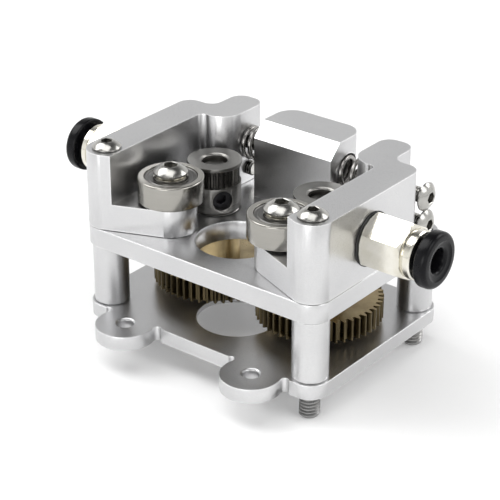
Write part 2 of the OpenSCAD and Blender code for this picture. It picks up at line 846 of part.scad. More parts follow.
base_plate();
deck_plate();
corner_posts();
rear_deck_screws();
pivot_screws();
spring_block();
block_screws();
spindle_bearing_outer_races();
spindle_bearing_balls();
left_spring();
right_spring();
left_shaft();
left_spur_gear();
left_spur_grub_screw();
left_drive_gear();
left_drive_grub_screw();
left_spindle_inner_races();
right_shaft();
right_spur_gear();
right_spur_grub_screw();
right_drive_gear();
right_drive_grub_screw();
right_spindle_inner_races();
left_lever();
left_idler_screw();
left_idler_washer();
left_idler_inner_race();
left_idler_balls();
left_idler_outer_race();
left_idler_shields();
left_tension_screw();
left_stop_screw();
left_fitting_body();
left_fitting_washer();
left_tube_seal();
left_grip_ring();
left_release_collet();
right_lever();
right_idler_screw();
right_idler_washer();
right_idler_inner_race();
right_idler_balls();
right_idler_outer_race();
right_idler_shields();
right_tension_screw();
right_stop_screw();
right_fitting_body();
right_fitting_washer();
right_tube_seal();
right_grip_ring();
right_release_collet();
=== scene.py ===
"""Looks of the twin-drive extruder gear assembly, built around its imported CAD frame."""
import math

import bmesh
import bpy
from mathutils import Matrix, Vector


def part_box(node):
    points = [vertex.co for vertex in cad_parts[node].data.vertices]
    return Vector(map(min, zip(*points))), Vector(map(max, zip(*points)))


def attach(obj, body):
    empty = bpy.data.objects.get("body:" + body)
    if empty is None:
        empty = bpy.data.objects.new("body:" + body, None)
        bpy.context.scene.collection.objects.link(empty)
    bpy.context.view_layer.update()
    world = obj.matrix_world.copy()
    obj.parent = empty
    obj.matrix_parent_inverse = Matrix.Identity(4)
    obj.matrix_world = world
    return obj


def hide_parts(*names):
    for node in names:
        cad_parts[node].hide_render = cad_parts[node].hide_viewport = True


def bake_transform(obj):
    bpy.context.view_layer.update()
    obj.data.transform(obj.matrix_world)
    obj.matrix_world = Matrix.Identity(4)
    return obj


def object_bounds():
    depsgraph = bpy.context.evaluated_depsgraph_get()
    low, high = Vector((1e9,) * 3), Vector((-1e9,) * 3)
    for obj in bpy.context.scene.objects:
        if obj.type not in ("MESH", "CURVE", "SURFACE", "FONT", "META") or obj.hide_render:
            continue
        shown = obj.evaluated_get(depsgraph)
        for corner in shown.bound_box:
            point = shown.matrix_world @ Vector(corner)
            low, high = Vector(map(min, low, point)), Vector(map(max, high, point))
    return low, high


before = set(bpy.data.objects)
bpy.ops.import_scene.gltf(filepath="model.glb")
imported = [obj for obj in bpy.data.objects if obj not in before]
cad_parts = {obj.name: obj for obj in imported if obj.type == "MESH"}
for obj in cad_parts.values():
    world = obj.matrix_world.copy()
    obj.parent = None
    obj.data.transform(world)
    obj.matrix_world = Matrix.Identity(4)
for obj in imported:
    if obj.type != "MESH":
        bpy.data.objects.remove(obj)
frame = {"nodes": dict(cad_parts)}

CAD_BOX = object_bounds()
MM = 0.001
SIDES = (("left", -1), ("right", 1))

# Camera and light, seen as in a product photograph taken from the front right
CAMERA_AZIMUTH = 38.2
CAMERA_ELEVATION = 26.9
CAMERA_DISTANCE = 0.345
CAMERA_LENS = 128
SENSOR = 36

# Studio sky: height of the direction (0 at the horizon, 1 overhead) and brightness
SKY_STOPS = ((0.0, 1.10), (0.30, 1.00), (0.52, 0.62), (0.75, 0.16), (1.0, 0.08))
FLOOR_GLOW = 0.06

# Button-head screws in mm: thread radius and pitch, head radius and height, and the
# socket's width across its flats
M3 = dict(radius=1.5, pitch=0.5, head=2.85, height=1.65, socket=2.0)
IDLER = dict(radius=2.0, pitch=0.7, head=3.35, height=2.0, socket=2.5)
PIVOT_SHANK = 16
IDLER_SHANK = 6

# Corner posts and the studs below them, in mm
POST_RADIUS = 3.5
POST_CHAMFER = 0.25
POST_HOLE = 1.52
SPIGOT_RADIUS = 2.4
STUD_RADIUS = 2.0
STUD_PITCH = 0.7

# Coil springs, in mm
SPRING_WIRE = 0.9
SPRING_TURNS = 4.2
CLOSED_TURNS = 0.9
CLOSED_PITCH = 0.55      # rise of a closed turn, in wire diameters

# Tube fittings, in mm
HEX_CHAMFER = 0.55
HEX_STEPS = 5
HEX_FOOT = 0.25          # hexagon's start above the sealing ring
NECK_LENGTH = 1.9
NECK_RADIUS = 4.7
BORE_RADIUS = 2.05
POCKET_RADIUS = 3.45
POCKET_DEPTH = 5.3
COLLET_BORE = 2.2
COLLET_FLANGE = 2.5

# Materials, in metres: where the painted shade on a spindle gear's teeth starts, and where
# the toothed band of a drive gear starts and ends below its top
TOOTH_SHADE_RADIUS = 0.0113
BAND_START = 0.00445
BAND_END = 0.00075


# ---------- Mesh building ----------

def hexagon(across_flats):
    """Radius of a hexagon at an angle, as a function."""
    def radius(angle):
        folded = (angle + math.pi / 6) % (math.pi / 3) - math.pi / 6
        return across_flats / 2 / math.cos(folded)
    return radius


def capped(shape, limit):
    """The smaller of a radius function and a fixed radius, as a function."""
    return lambda angle: min(shape(angle), limit)


def arc(centre, radius, start, end, steps):
    """Profile points (radius, height) along an arc, angles in degrees."""
    points = []
    for k in range(steps + 1):
        a = math.radians(start + (end - start) * k / steps)
        points.append((centre[0] + radius * math.cos(a), centre[1] + radius * math.sin(a)))
    return points


def new_object(name, mesh_data, sharp_angle=35):
    """Turns a bmesh into a linked object with smooth faces and sharp corners."""
    bmesh.ops.remove_doubles(mesh_data, verts=mesh_data.verts, dist=1e-7)
    bmesh.ops.dissolve_degenerate(mesh_data, edges=mesh_data.edges, dist=1e-7)
    bmesh.ops.recalc_face_normals(mesh_data, faces=mesh_data.faces)
    mesh = bpy.data.meshes.new(name)
    mesh_data.to_mesh(mesh)
    mesh_data.free()
    for polygon in mesh.polygons:
        polygon.use_smooth = True
    mesh.set_sharp_from_angle(angle=math.radians(sharp_angle))
    obj = bpy.data.objects.new(name, mesh)
    bpy.context.scene.collection.objects.link(obj)
    return obj


def loft(name, rings, segments=72, closed=False, matrix=None):
    """Solid around local Z from rings (radius or radius function, height), in mm. A ring of
    radius 0 closes an end. closed joins the last ring to the first, for a piece with a bore."""
    bm = bmesh.new()
    rows = []
    for radius, height in rings:
        if not callable(radius) and radius < 1e-6:
            rows.append([bm.verts.new((0, 0, height * MM))])
            continue
        row = []
        for k in range(segments):
            a = 2 * math.pi * k / segments
            r = (radius(a) if callable(radius) else radius) * MM
            row.append(bm.verts.new((r * math.cos(a), r * math.sin(a), height * MM)))
        rows.append(row)
    pairs = list(zip(rows, rows[1:]))
    if closed:
        pairs.append((rows[-1], rows[0]))
    for low, high in pairs:
        for k in range(segments):
            n = (k + 1) % segments
            corners = (low[k % len(low)], low[n % len(low)],
                       high[n % len(high)], high[k % len(high)])
            unique = list(dict.fromkeys(corners))
            if len(unique) > 2:
                bm.faces.new(unique)
    if matrix is not None:
        bm.transform(matrix)
    return new_object(name, bm)


def thread_faces(bm, radius, pitch, low, high, steps=40):
    """Adds the winding surface of a thread along Z between two heights, in mm."""
    depth = 0.55 * pitch
    root = radius - depth
    profile = ((0, 1), (0.12, 1), (0.5, 0), (0.62, 0), (0.88, 1))
    turns = int((high - low) / pitch) + 3
    table = []
    for turn in range(turns):
        for share, level in profile:
            table.append((low + (turn - 1 + share) * pitch, root + depth * level))
    grid = []
    for z, r in table:
        line = []
        for k in range(steps):
            a = 2 * math.pi * k / steps
            h = min(max(z + pitch * k / steps, low), high)
            chamfer = root + min(h - low, high - h)
            q = min(r, chamfer) * MM
            line.append(bm.verts.new((q * math.cos(a), q * math.sin(a), h * MM)))
        grid.append(line)
    per_turn = len(profile)
    for j in range(len(grid) - 1):
        for k in range(steps - 1):
            bm.faces.new((grid[j][k], grid[j][k + 1], grid[j + 1][k + 1], grid[j + 1][k]))
        if j + per_turn + 1 < len(grid):
            bm.faces.new((grid[j][-1], grid[j + per_turn][0],
                          grid[j + per_turn + 1][0], grid[j + 1][-1]))


def threaded_rod(name, radius, pitch, low, high, matrix=None):
    """Threaded rod with chamfered, capped ends."""
    bm = bmesh.new()
    thread_faces(bm, radius, pitch, low, high)
    bmesh.ops.remove_doubles(bm, verts=bm.verts, dist=1e-6)
    bmesh.ops.dissolve_degenerate(bm, edges=bm.edges, dist=1e-6)
    loops = [e for e in bm.edges if e.is_boundary]
    bmesh.ops.holes_fill(bm, edges=loops)
    if matrix is not None:
        bm.transform(matrix)
    return new_object(name, bm, 25)


def joined(name, parts):
    """Joins objects into one piece."""
    bm = bmesh.new()
    for part in parts:
        bm.from_mesh(part.data)
        mesh = part.data
        bpy.data.objects.remove(part)
        bpy.data.meshes.remove(mesh)
    mesh = bpy.data.meshes.new(name)
    bm.to_mesh(mesh)
    bm.free()
    obj = bpy.data.objects.new(name, mesh)
    bpy.context.scene.collection.objects.link(obj)
    return obj


def button_screw(name, size, length, matrix, plain=0.0):
    """Domed screw whose head sits on local z = 0 and whose thread runs down."""
    head, height = size["head"], size["height"]
    dome = height * 0.78
    dome_r = (head * head + dome * dome) / (2 * dome)
    drop = height - dome_r
    rings = [(0, 0), (size["radius"], 0), (head - 0.12, 0), (head, 0.12), (head, height - dome)]
    rim = size["socket"] / math.sqrt(3) + 0.22
    first = math.degrees(math.acos(min(1, head / dome_r)))
    last = math.degrees(math.acos(rim / dome_r))
    rings += arc((0, drop), dome_r, first, last, 10)[1:]
    top = drop + math.sqrt(dome_r ** 2 - rim ** 2)
    socket = hexagon(size["socket"])
    floor = top - height * 0.62
    rings += [(lambda a: socket(a) + 0.1, top + 0.02), (socket, top - 0.08), (socket, floor)]
    rings += [(0, floor - 0.25)]
    parts = [loft(name + "_head", rings, 72, matrix=matrix)]
    if plain > 0:
        shank_r = size["radius"] - 0.02
        shank = [(0, -plain), (shank_r, -plain), (shank_r, 0), (0, 0)]
        parts.append(loft(name + "_shank", shank, 48, matrix=matrix))
    parts.append(threaded_rod(name + "_thread", size["radius"], size["pitch"],
                              -length, -plain, matrix))
    return joined(name, parts)


def coil(name, radius, wire, start, end, turns, matrix):
    """Compression spring along local Z between two heights, with closed end turns, in mm."""
    bm = bmesh.new()
    around, per_turn = 14, 30
    count = int(turns * per_turn)
    travel = end - start - wire
    closed = wire * CLOSED_TURNS * CLOSED_PITCH
    rows = []
    for k in range(count + 1):
        turn = turns * k / count
        if turn < CLOSED_TURNS:
            lift = wire * turn * CLOSED_PITCH
        elif turn > turns - CLOSED_TURNS:
            lift = travel - wire * (turns - turn) * CLOSED_PITCH
        else:
            share = (turn - CLOSED_TURNS) / (turns - 2 * CLOSED_TURNS)
            lift = closed + (travel - 2 * closed) * share
        a = 2 * math.pi * turn
        centre = Vector((radius * math.cos(a), radius * math.sin(a), start + wire / 2 + lift))
        out = Vector((math.cos(a), math.sin(a), 0))
        row = []
        for j in range(around):
            b = 2 * math.pi * j / around
            point = centre + (out * math.cos(b) + Vector((0, 0, 1)) * math.sin(b)) * wire / 2
            row.append(bm.verts.new(point * MM))
        rows.append(row)
    for low, high in zip(rows, rows[1:]):
        for j in range(around):
            n = (j + 1) % around
            bm.faces.new((low[j], low[n], high[n], high[j]))
    bm.faces.new(rows[0])
    bm.faces.new(rows[-1])
    bm.transform(matrix)
    return new_object(name, bm, 50)


# ---------- Materials ----------

class Graph:
    """Short way to build a node material."""

    def __init__(self, name):
        self.material = bpy.data.materials.new(name)
        self.material.use_nodes = True
        self.tree = self.material.node_tree
        self.tree.nodes.clear()
        self.out = self.add("ShaderNodeOutputMaterial")
        self.shader = self.add("ShaderNodeBsdfPrincipled")
        self.link(self.shader.outputs["BSDF"], self.out.inputs["Surface"])
        self.coords = self.add("ShaderNodeTexCoord").outputs["Object"]

    def add(self, kind, **values):
        made = self.tree.nodes.new(kind)
        for key, value in values.items():
            setattr(made, key, value)
        return made

    def link(self, source, target):
        self.tree.links.new(source, target)

    def feed(self, target, value):
        """Links a socket, or sets a plain value."""
        if hasattr(value, "is_linked"):
            self.link(value, target)
        else:
            target.default_value = value

    def noise(self, scale, detail, rough, vector=None):
        made = self.add("ShaderNodeTexNoise")
        made.inputs["Scale"].default_value = scale
        made.inputs["Detail"].default_value = detail
        made.inputs["Roughness"].default_value = rough
        self.link(vector or self.coords, made.inputs["Vector"])
        return made.outputs["Fac"]

    def stretched(self, scale):
        made = self.add("ShaderNodeMapping")
        made.inputs["Scale"].default_value = scale
        self.link(self.coords, made.inputs["Vector"])
        return made.outputs["Vector"]

    def remap(self, value, low, high, to_low, to_high):
        made = self.add("ShaderNodeMapRange")
        self.feed(made.inputs["Value"], value)
        for key, number in zip(("From Min", "From Max", "To Min", "To Max"),
                               (low, high, to_low, to_high)):
            made.inputs[key].default_value = number
        return made.outputs["Result"]

    def math(self, operation, a, b=0.0):
        made = self.add("ShaderNodeMath", operation=operation)
        self.feed(made.inputs[0], a)
        self.feed(made.inputs[1], b)
        return made.outputs[0]

    def mix(self, share, a, b):
        made = self.add("ShaderNodeMix", data_type="RGBA")
        self.feed(made.inputs["Factor"], share)
        self.feed(made.inputs[6], a if hasattr(a, "is_linked") else (*a, 1))
        self.feed(made.inputs[7], b if hasattr(b, "is_linked") else (*b, 1))
        return made.outputs[2]

    def bump(self, height, strength, distance, normal=None):
        made = self.add("ShaderNodeBump")
        made.inputs["Strength"].default_value = strength
        made.inputs["Distance"].default_value = distance
        self.link(height, made.inputs["Height"])
        if normal is not None:
            self.link(normal, made.inputs["Normal"])
        return made.outputs["Normal"]

    def edges(self, radius):
        """1 on an edge, 0 on a flat face; the materials paint highlights along it."""
        soft = self.add("ShaderNodeBevel", samples=6)
        soft.inputs["Radius"].default_value = radius
        plain = self.add("ShaderNodeNewGeometry")
        dot = self.add("ShaderNodeVectorMath", operation="DOT_PRODUCT")
        self.link(soft.outputs["Normal"], dot.inputs[0])
        self.link(plain.outputs["Normal"], dot.inputs[1])
        return self.remap(dot.outputs["Value"], 0.995, 0.85, 0, 1)

    def reach(self, centre):
        """Distance from a vertical axis, and the height."""
        offset = self.add("ShaderNodeVectorMath", operation="SUBTRACT")
        self.link(self.coords, offset.inputs[0])
        offset.inputs[1].default_value = centre
        split = self.add("ShaderNodeSeparateXYZ")
        self.link(offset.outputs["Vector"], split.inputs[0])
        square = self.math("ADD", self.math("MULTIPLY", split.outputs[0], split.outputs[0]),
                           self.math("MULTIPLY", split.outputs[1], split.outputs[1]))
        return self.math("SQRT", square), split.outputs[2]

    def ring_lines(self, centre, scale):
        """Noise that runs in rings around a vertical axis, as turning leaves it."""
        together = self.add("ShaderNodeCombineXYZ")
        reach, height = self.reach(centre)
        self.link(reach, together.inputs[0])
        self.link(height, together.inputs[1])
        return self.noise(scale, 3, 0.6, together.outputs[0])

    def set(self, **inputs):
        for key, value in inputs.items():
            name = key.replace("_", " ")
            if isinstance(value, tuple) and len(value) == 3:
                value = (*value, 1)
            self.feed(self.shader.inputs[name], value)
        return self.material


def blasted_aluminium():
    """Bead-blasted, clear anodised aluminium with painted highlights along its edges."""
    g = Graph("blasted_aluminium")
    grain = g.noise(9000, 2, 0.6)
    pits = g.noise(3200, 3, 0.6)
    cloud = g.noise(60, 3, 0.5)
    edge = g.edges(0.0005)
    tone = g.mix(g.remap(cloud, 0.35, 0.7, 0, 1), (0.60, 0.60, 0.605), (0.66, 0.66, 0.66))
    tone = g.mix(g.remap(pits, 0.3, 0.75, 0, 0.35), tone, (0.52, 0.52, 0.53))
    # painted highlight: edges lightened towards white
    tone = g.mix(g.math("MULTIPLY", edge, 0.8), tone, (0.97, 0.97, 0.97))
    rough = g.remap(grain, 0.3, 0.7, 0.26, 0.35)
    rough = g.math("SUBTRACT", rough, g.math("MULTIPLY", edge, 0.05))
    normal = g.bump(grain, 0.12, 0.00005, g.bump(pits, 0.07, 0.00008))
    return g.set(Base_Color=tone, Metallic=1.0, Roughness=rough, Normal=normal)


def turned_metal(name, dark, light, rough, centre=(0, 0, 0), lines=2600, depth=0.00003):
    """Lathe-turned metal with fine rings and painted highlights along its edges."""
    g = Graph(name)
    rings = g.ring_lines(centre, lines)
    stain = g.noise(140, 3, 0.55)
    edge = g.edges(0.00025)
    tone = g.mix(g.remap(rings, 0.3, 0.7, 0, 1), dark, light)
    tone = g.mix(g.remap(stain, 0.45, 0.8, 0, 0.35), tone, tuple(c * 0.7 for c in dark))
    # painted highlight: edges lightened
    tone = g.mix(g.math("MULTIPLY", edge, 0.5), tone, tuple(min(1, c * 1.25) for c in light))
    glint = g.remap(rings, 0.25, 0.75, rough * 0.8, rough * 1.25)
    normal = g.bump(rings, 0.3, depth)
    return g.set(Base_Color=tone, Metallic=1.0, Roughness=glint, Normal=normal,
                 Anisotropic=0.35)


def machined_brass(name, centre, rim):
    """Hobbed brass with painted shade on the tooth flanks beyond a radius from its axis, and
    painted highlights along its edges.
    """
    g = Graph(name)
    fine = g.noise(5200, 2, 0.5, g.stretched((1, 1, 0.12)))
    stain = g.noise(260, 4, 0.6)
    edge = g.edges(0.0002)
    tone = g.mix(g.remap(stain, 0.35, 0.7, 0, 1), (0.42, 0.33, 0.18), (0.31, 0.24, 0.13))
    # painted highlight: edges lightened to pale brass
    tone = g.mix(g.math("MULTIPLY", edge, 0.6), tone, (0.66, 0.53, 0.31))
    # painted shade: sideways-facing tooth flanks beyond the rim radius darkened almost to black
    beyond = g.remap(g.reach(centre)[0], rim - 0.0001, rim, 0, 1)
    facing = g.add("ShaderNodeSeparateXYZ")
    g.link(g.add("ShaderNodeNewGeometry").outputs["Normal"], facing.inputs[0])
    upright = g.remap(g.math("ABSOLUTE", facing.outputs[2]), 0.3, 0.7, 1, 0)
    tooth_shade = g.math("MULTIPLY", g.math("MULTIPLY", beyond, upright), 0.86)
    tone = g.mix(tooth_shade, tone, (0.050, 0.040, 0.022))
    rough = g.remap(stain, 0.3, 0.7, 0.24, 0.42)
    normal = g.bump(fine, 0.3, 0.00004)
    return g.set(Base_Color=tone, Metallic=1.0, Roughness=rough, Normal=normal)


def nickel_plate():
    """Bright nickel plate over brass, faintly wavy and slightly warm, with painted highlights
    along its edges.
    """
    g = Graph("nickel_plate")
    wave = g.noise(420, 2, 0.4)
    specks = g.noise(4200, 2, 0.5)
    edge = g.edges(0.0002)
    tone = g.mix(g.remap(wave, 0.3, 0.7, 0, 1), (0.70, 0.67, 0.58), (0.80, 0.78, 0.71))
    # painted highlight: edges lightened towards white
    tone = g.mix(g.math("MULTIPLY", edge, 0.6), tone, (0.95, 0.94, 0.90))
    rough = g.remap(specks, 0.35, 0.75, 0.14, 0.24)
    normal = g.bump(wave, 0.25, 0.00006, g.bump(specks, 0.08, 0.00003))
    return g.set(Base_Color=tone, Metallic=1.0, Roughness=rough, Normal=normal)


def drive_steel(name, centre, low, high):
    """Turned steel, darker on its toothed band between two heights, with painted highlights
    along its edges.
    """
    g = Graph(name)
    rings = g.ring_lines(centre, 2600)
    stain = g.noise(260, 3, 0.55)
    edge = g.edges(0.00025)
    height = g.reach(centre)[1]
    band = g.math("MULTIPLY", g.remap(height, low - 0.0001, low + 0.0001, 0, 1),
                  g.remap(height, high - 0.0001, high + 0.0001, 1, 0))
    tone = g.mix(g.remap(rings, 0.3, 0.7, 0, 1), (0.22, 0.215, 0.205), (0.28, 0.275, 0.26))
    tone = g.mix(g.remap(stain, 0.45, 0.8, 0, 0.35), tone, (0.15, 0.145, 0.14))
    # painted highlight: edges lightened
    tone = g.mix(g.math("MULTIPLY", edge, 0.5), tone, (0.42, 0.41, 0.39))
    # toothed band darkened between the two heights
    tone = g.mix(g.math("MULTIPLY", band, 0.8), tone, (0.055, 0.052, 0.045))
    glint = g.remap(rings, 0.25, 0.75, 0.25, 0.36)
    normal = g.bump(rings, 0.3, 0.00001)
    return g.set(Base_Color=tone, Metallic=1.0, Roughness=glint, Normal=normal)


def plain_steel(name, dark, light, rough):
    """Steel with fine scratches, a little staining, and painted highlights along its edges."""
    g = Graph(name)
    scratches = g.noise(2400, 3, 0.65, g.stretched((1, 0.15, 0.6)))
    stain = g.noise(300, 3, 0.5)
    edge = g.edges(0.0002)
    tone = g.mix(g.remap(stain, 0.35, 0.7, 0, 1), dark, light)
    # painted highlight: edges lightened
    tone = g.mix(g.math("MULTIPLY", edge, 0.6), tone, tuple(min(1, c * 1.35) for c in light))
    glint = g.remap(scratches, 0.3, 0.75, rough * 0.75, rough * 1.35)
    normal = g.bump(scratches, 0.2, 0.00003)
    return g.set(Base_Color=tone, Metallic=1.0, Roughness=glint, Normal=normal)


def ground_steel(name, tone, rough, centre):
    """Ground bearing steel: one even tone with faint rings round its axis, and painted
    highlights along its edges.
    """
    g = Graph(name)
    rings = g.ring_lines(centre, 2600)
    edge = g.edges(0.0002)
    base = g.mix(g.remap(rings, 0.3, 0.7, 0, 1), tone, tuple(c * 1.1 for c in tone))
    # painted highlight: edges lightened
    base = g.mix(g.math("MULTIPLY", edge, 0.5), base, tuple(c * 1.7 for c in tone))
    glint = g.remap(rings, 0.25, 0.75, rough * 0.92, rough * 1.1)
    return g.set(Base_Color=base, Metallic=1.0, Roughness=glint,
                 Normal=g.bump(rings, 0.12, 0.000003))


def screw_steel():
    """Bright screw steel with painted shade in its sockets and thread roots."""
    g = Graph("bright_screw_steel")
    scratches = g.noise(2400, 3, 0.65, g.stretched((1, 0.15, 0.6)))
    stain = g.noise(300, 3, 0.5)
    shelter = g.add("ShaderNodeAmbientOcclusion", samples=6)
    shelter.inputs["Distance"].default_value = 0.0014
    # painted shade: colour goes near black where ambient occlusion finds a socket or thread root
    recess_shade = g.remap(shelter.outputs["AO"], 0.25, 0.8, 0.92, 0)
    tone = g.mix(g.remap(stain, 0.35, 0.7, 0, 1), (0.40, 0.395, 0.375), (0.50, 0.49, 0.465))
    tone = g.mix(recess_shade, tone, (0.045, 0.043, 0.040))
    glint = g.remap(scratches, 0.3, 0.75, 0.18, 0.28)
    return g.set(Base_Color=tone, Metallic=1.0, Roughness=glint,
                 Normal=g.bump(scratches, 0.1, 0.00002))


def moulded(name, tone_low, tone_high, rough_low, rough_high, grain, strength, shine=0.5):
    """Moulded plastic or rubber with a fine skin, dust in its roughness, and painted highlights
    along its edges.
    """
    g = Graph(name)
    skin = g.noise(grain, 3, 0.6)
    dust = g.noise(420, 4, 0.6)
    edge = g.edges(0.0003)
    tone = g.mix(g.remap(dust, 0.4, 0.75, 0, 1), tone_low, tone_high)
    # painted highlight: edges lightened
    tone = g.mix(g.math("MULTIPLY", edge, 0.35), tone, tuple(c * 2 for c in tone_high))
    rough = g.remap(dust, 0.3, 0.75, rough_low, rough_high)
    normal = g.bump(skin, strength, 0.00005)
    return g.set(Base_Color=tone, Metallic=0.0, Roughness=rough, Normal=normal,
                 Specular_IOR_Level=shine)


def floor_material():
    """Matt white studio sweep with a barely visible paper tooth."""
    g = Graph("studio_floor")
    tooth = g.noise(900, 2, 0.5)
    tone = g.mix(g.remap(tooth, 0.3, 0.7, 0, 1), (0.93, 0.93, 0.93), (0.96, 0.96, 0.96))
    return g.set(Base_Color=tone, Roughness=0.9, Specular_IOR_Level=0.1,
                 Emission_Color=(1.0, 1.0, 1.0), Emission_Strength=FLOOR_GLOW)


def axis_of(node):
    """Vertical axis through a node's middle, as a texture centre."""
    low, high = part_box(node)
    middle = (low + high) / 2
    return (middle.x, middle.y, 0)


def paint(obj, material):
    """Gives every slot of a piece one material."""
    if not obj.data.materials:
        obj.data.materials.append(material)
    for slot in obj.material_slots:
        slot.material = material


def soften(node, width):
    """Rounds a CAD node's sharp edges with modifiers, leaving its mesh alone."""
    obj = frame["nodes"][node]
    weld = obj.modifiers.new("weld", "WELD")
    weld.merge_threshold = 2e-6
    bevel = obj.modifiers.new("edge", "BEVEL")
    bevel.width = width * MM
    bevel.segments = 2
    bevel.limit_method = "ANGLE"
    bevel.angle_limit = math.radians(30)
    bevel.harden_normals = True
    bevel.use_clamp_overlap = True


ALUMINIUM = blasted_aluminium()
STUD = plain_steel("stud_steel", (0.30, 0.30, 0.30), (0.40, 0.395, 0.385), 0.36)
NICKEL = nickel_plate()
STAINLESS = plain_steel("stainless_steel", (0.52, 0.51, 0.49), (0.66, 0.65, 0.62), 0.20)
SCREW = screw_steel()
SPRING = plain_steel("spring_wire", (0.30, 0.29, 0.28), (0.42, 0.41, 0.39), 0.24)
BLACK_OXIDE = plain_steel("black_oxide", (0.030, 0.030, 0.032), (0.06, 0.06, 0.065), 0.42)
COLLET = moulded("collet_plastic", (0.004, 0.004, 0.005), (0.009, 0.009, 0.010), 0.16, 0.30,
                 5200, 0.08, 0.14)
RUBBER = moulded("rubber", (0.016, 0.016, 0.016), (0.045, 0.045, 0.045), 0.55, 0.75, 2600, 0.3)
FLOOR = floor_material()


def dress_base():
    for node in ("base_plate", "deck_plate", "spring_block"):
        paint(frame["nodes"][node], ALUMINIUM)
    soften("base_plate", 0.28)
    soften("deck_plate", 0.28)
    soften("spring_block", 0.3)
    race = turned_metal("spindle_race", (0.44, 0.43, 0.42), (0.60, 0.59, 0.57), 0.22)
    paint(frame["nodes"]["spindle_bearing_outer_races"], race)
    paint(frame["nodes"]["spindle_bearing_balls"], STAINLESS)
    paint(frame["nodes"]["rear_deck_screws"], BLACK_OXIDE)


def dress_spindle(side):
    nodes = frame["nodes"]
    shaft, spur, drive = (f"{side}_{part}" for part in ("shaft", "spur_gear", "drive_gear"))
    paint(nodes[shaft], turned_metal(f"{side}_shaft_steel", (0.16, 0.16, 0.155),
                                     (0.22, 0.215, 0.21), 0.3, axis_of(shaft), 4200, 0.00001))
    paint(nodes[spur], machined_brass(f"{side}_brass", axis_of(spur), TOOTH_SHADE_RADIUS))
    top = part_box(drive)[1].z
    paint(nodes[drive], drive_steel(f"{side}_drive_steel", axis_of(drive),
                                    top - BAND_START, top - BAND_END))
    soften(drive, 0.08)
    soften(spur, 0.05)
    for node in (f"{side}_spur_grub_screw", f"{side}_drive_grub_screw"):
        paint(nodes[node], BLACK_OXIDE)
    paint(nodes[f"{side}_spindle_inner_races"], STAINLESS)


def dress_arm(side):
    nodes = frame["nodes"]
    paint(nodes[f"{side}_lever"], ALUMINIUM)
    soften(f"{side}_lever", 0.3)
    race = ground_steel(f"{side}_race_steel", (0.33, 0.32, 0.295), 0.20,
                        axis_of(f"{side}_idler_outer_race"))
    paint(nodes[f"{side}_idler_outer_race"], race)
    paint(nodes[f"{side}_idler_inner_race"], race)
    soften(f"{side}_idler_outer_race", 0.12)
    for node in (f"{side}_idler_balls", f"{side}_grip_ring"):
        paint(nodes[node], STAINLESS)
    paint(nodes[f"{side}_idler_washer"], NICKEL)
    soften(f"{side}_idler_washer", 0.1)
    for node in (f"{side}_fitting_washer", f"{side}_tube_seal"):
        paint(nodes[node], RUBBER)
    soften(f"{side}_fitting_washer", 0.15)


# ---------- Pieces that stand for CAD nodes ----------

def finish_piece(piece, body, material, slot, *replaced):
    """Paints a piece, ties it to its body and hides the CAD nodes it stands for."""
    paint(piece, material)
    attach(piece, body)
    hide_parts(*replaced)


def outward(low, high, k):
    """A box's inner and outer distance from the middle plane, on side k."""
    return (low.x, high.x) if k > 0 else (-high.x, -low.x)


def sideways(middle, k):
    """Turns local Z outwards on side k, on the line through a point."""
    line = Matrix.Translation((0, middle.y, middle.z))
    return line @ Matrix.Rotation(math.radians(90 * k), 4, "Y")


def build_posts():
    """Corner posts with a spigot in the base plate, and a threaded stud below each."""
    low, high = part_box("corner_posts")
    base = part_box("base_plate")[1].z / MM
    top, bottom = high.z / MM, low.z / MM
    inset = POST_RADIUS * MM
    spots = [(x, y) for x in (low.x + inset, high.x - inset)
             for y in (low.y + inset, high.y - inset)]
    shoulder = POST_RADIUS - POST_CHAMFER
    rings = [(0, top), (POST_HOLE, top), (shoulder, top), (POST_RADIUS, top - POST_CHAMFER),
             (POST_RADIUS, base + POST_CHAMFER), (shoulder, base), (SPIGOT_RADIUS, base),
             (SPIGOT_RADIUS, 0.2), (SPIGOT_RADIUS - 0.2, 0), (0, 0)]
    for k, (x, y) in enumerate(spots):
        at = Matrix.Translation((x, y, 0))
        post = loft(f"post_{k + 1}", rings, 96, matrix=at)
        finish_piece(post, "base", ALUMINIUM, "post_aluminium", "corner_posts")
        rod = threaded_rod(f"post_stud_{k + 1}", STUD_RADIUS, STUD_PITCH, bottom, 0.05, at)
        finish_piece(rod, "base", STUD, "screw_steel", "corner_posts")


